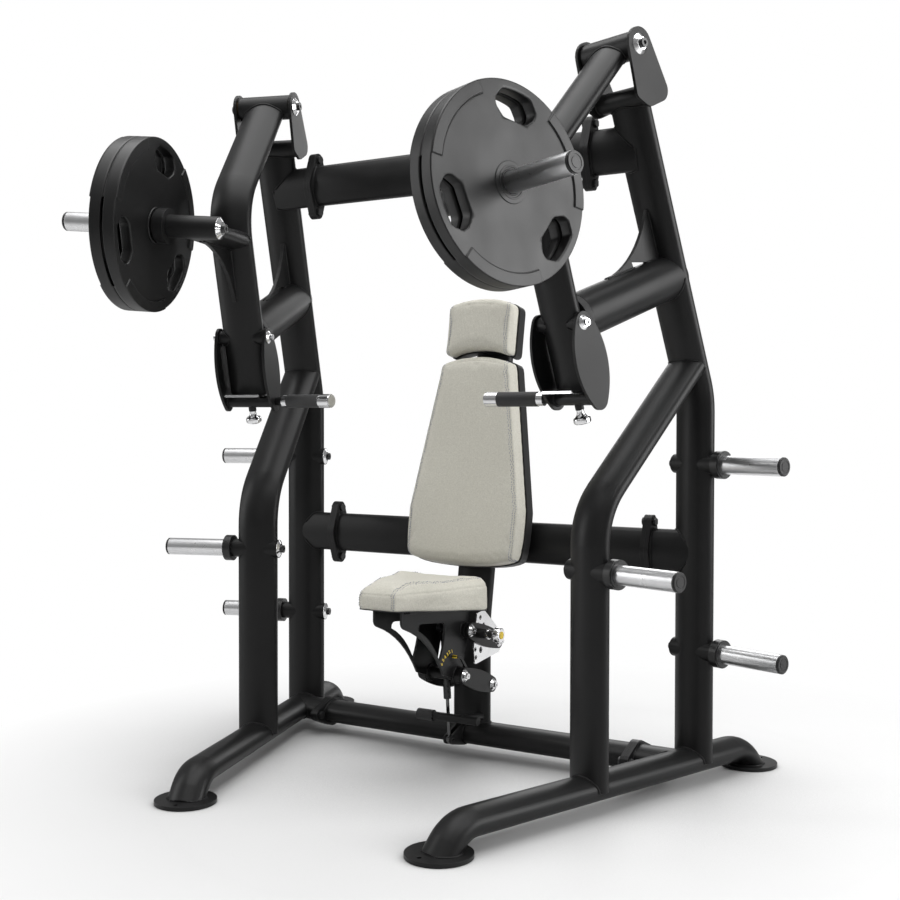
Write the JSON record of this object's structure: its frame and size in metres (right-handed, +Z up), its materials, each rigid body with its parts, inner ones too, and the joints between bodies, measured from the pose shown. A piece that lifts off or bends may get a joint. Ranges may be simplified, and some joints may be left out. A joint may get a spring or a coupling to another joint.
{
  "type": "chest press machine",
  "caption": "Plate-loaded chest press machine with two splayed side frames, independent overhead press arms, adjustable handles, reclined back pad and a gas-assisted seat.",
  "frame": {"origin": "on the floor, at the middle of the footprint", "axes": "+Z up, -Y toward the front where a seated user faces, +X to the right when facing the machine from the front"},
  "size_m": [1.882, 1.3991, 1.9519],
  "materials": {
    "frame": "satin fine-texture powder coat, charcoal black",
    "chrome": "polished chrome plate",
    "collar": "black moulded collar",
    "cap": "dark end cap with a ring groove",
    "bolt_black": "black oxide socket screw",
    "fastener": "black hexagon bolts and nuts",
    "shaft": "ground steel",
    "bush": "bronze bush",
    "bumper": "black rubber",
    "vinyl": "warm pale grey upholstery vinyl with fine grain",
    "shell": "black moulded backing shell",
    "plate_rubber": "smooth black urethane over iron",
    "grip": "black moulded rubber grip",
    "yellow": "yellow insert",
    "gas": "black painted gas spring body",
    "gas_rod": "dark hardened rod"
  },
  "bodies": {
    "root": {"right_side_frame": "frame", "left_side_frame": "frame", "upper_crossbeam": "frame", "centre_frame": "frame", "flange_bolts": "fastener", "storage_sleeves": "chrome", "storage_collars": "collar", "storage_end_caps": "cap", "storage_washers": "chrome", "storage_bolts": "bolt_black", "pivot_shafts": "shaft", "pivot_washers": "chrome", "pivot_bolts": "bolt_black", "stop_bumpers": "bumper", "back_pad": "vinyl", "back_shell": "shell", "head_pad": "vinyl", "head_shell": "shell", "pad_brackets": "frame", "seat_stop_sleeve": "bumper", "seat_selector_plate": "chrome", "seat_post_pivots": "chrome"},
    "right_press_arm": {"right_arm": "frame", "right_arm_bushes": "bush", "right_horn_sleeve": "chrome", "right_horn_collar": "collar", "right_horn_cap": "cap", "right_horn_bolt": "bolt_black", "right_horn_washer": "chrome", "right_handle_selector": "chrome"},
    "right_plates": {"right_weight_plates": "plate_rubber"},
    "right_handle": {"right_handle_frame": "frame", "right_grip": "grip", "right_handle_trim": "chrome", "right_handle_pivots": "chrome"},
    "right_pin": {"right_handle_pin": "chrome"},
    "left_press_arm": {"left_arm": "frame", "left_arm_bushes": "bush", "left_horn_sleeve": "chrome", "left_horn_collar": "collar", "left_horn_cap": "cap", "left_horn_bolt": "bolt_black", "left_horn_washer": "chrome", "left_handle_selector": "chrome"},
    "left_plates": {"left_weight_plates": "plate_rubber"},
    "left_handle": {"left_handle_frame": "frame", "left_grip": "grip", "left_handle_trim": "chrome", "left_handle_pivots": "chrome"},
    "left_pin": {"left_handle_pin": "chrome"},
    "seat_upper_link": {"seat_upper_links": "frame"},
    "seat_lower_link": {"seat_lower_links": "frame"},
    "seat_carriage": {"seat_pad": "vinyl", "seat_bracket": "frame", "seat_front_pivots": "chrome"},
    "seat_pull_pin": {"seat_pin": "chrome", "seat_pin_cap": "yellow"},
    "gas_spring_rod": {"gas_rod": "gas_rod"},
    "gas_spring_cylinder": {"gas_cylinder": "gas"}
  },
  "joints": [
    {"name": "right_press", "type": "hinge", "parent": "root", "child": "right_press_arm", "pos_m": [0.55812, 0.05214, 1.91], "axis": [-0.9514, 0.3079, 0], "range_deg": [0, 45]},
    {"name": "right_plates_slide", "type": "slide", "parent": "right_press_arm", "child": "right_plates", "axis": [0.9486, -0.3069, 0.0767], "range_m": [0, 0.27]},
    {"name": "right_handle_adjust", "type": "hinge", "parent": "right_press_arm", "child": "right_handle", "pos_m": [0.50225, -0.12054, 1.217], "axis": [-0.9514, 0.3079, 0], "range_deg": [-16, 16]},
    {"name": "right_handle_pin_pull", "type": "slide", "parent": "right_handle", "child": "right_pin", "axis": [0.0951, 0.294, -0.9511], "range_m": [0, 0.01]},
    {"name": "left_press", "type": "hinge", "parent": "root", "child": "left_press_arm", "pos_m": [-0.55812, 0.05214, 1.91], "axis": [-0.9514, -0.3079, 0], "range_deg": [0, 45]},
    {"name": "left_plates_slide", "type": "slide", "parent": "left_press_arm", "child": "left_plates", "axis": [-0.9486, -0.3069, 0.0767], "range_m": [0, 0.27]},
    {"name": "left_handle_adjust", "type": "hinge", "parent": "left_press_arm", "child": "left_handle", "pos_m": [-0.50225, -0.12054, 1.217], "axis": [-0.9514, -0.3079, 0], "range_deg": [-16, 16]},
    {"name": "left_handle_pin_pull", "type": "slide", "parent": "left_handle", "child": "left_pin", "axis": [-0.0951, 0.294, -0.9511], "range_m": [0, 0.01]},
    {"name": "seat_height", "type": "hinge", "parent": "root", "child": "seat_upper_link", "pos_m": [0, 0.3503, 0.333], "axis": [1, 0, 0], "range_deg": [-21, 31.5]},
    {"name": "seat_lower_swing", "type": "hinge", "parent": "root", "child": "seat_lower_link", "pos_m": [0, 0.3133, 0.21], "axis": [1, 0, 0], "range_deg": [-21, 31.5]},
    {"name": "seat_level", "type": "hinge", "parent": "seat_upper_link", "child": "seat_carriage", "pos_m": [0, 0.1883, 0.386], "axis": [1, 0, 0], "range_deg": [-31.5, 21]},
    {"name": "seat_pin_pull", "type": "slide", "parent": "seat_upper_link", "child": "seat_pull_pin", "axis": [1, 0, 0], "range_m": [0, 0.012]},
    {"name": "gas_spring_tilt", "type": "hinge", "parent": "root", "child": "gas_spring_rod", "pos_m": [-0.02, 0.2193, 0.057], "axis": [1, 0, 0], "range_deg": [-3.4, 5.1]},
    {"name": "gas_spring_stroke", "type": "slide", "parent": "gas_spring_rod", "child": "gas_spring_cylinder", "axis": [0, -0.0938, 0.9956], "range_m": [-0.088, 0.059]}
  ],
  "couplings": [
    {"joint": "seat_lower_swing", "follows": "seat_height", "ratio": 1},
    {"joint": "seat_level", "follows": "seat_height", "ratio": -1},
    {"joint": "gas_spring_tilt", "follows": "seat_height", "ratio": 0.16},
    {"joint": "gas_spring_stroke", "follows": "seat_height", "m_per_rad": -0.158}
  ]
}
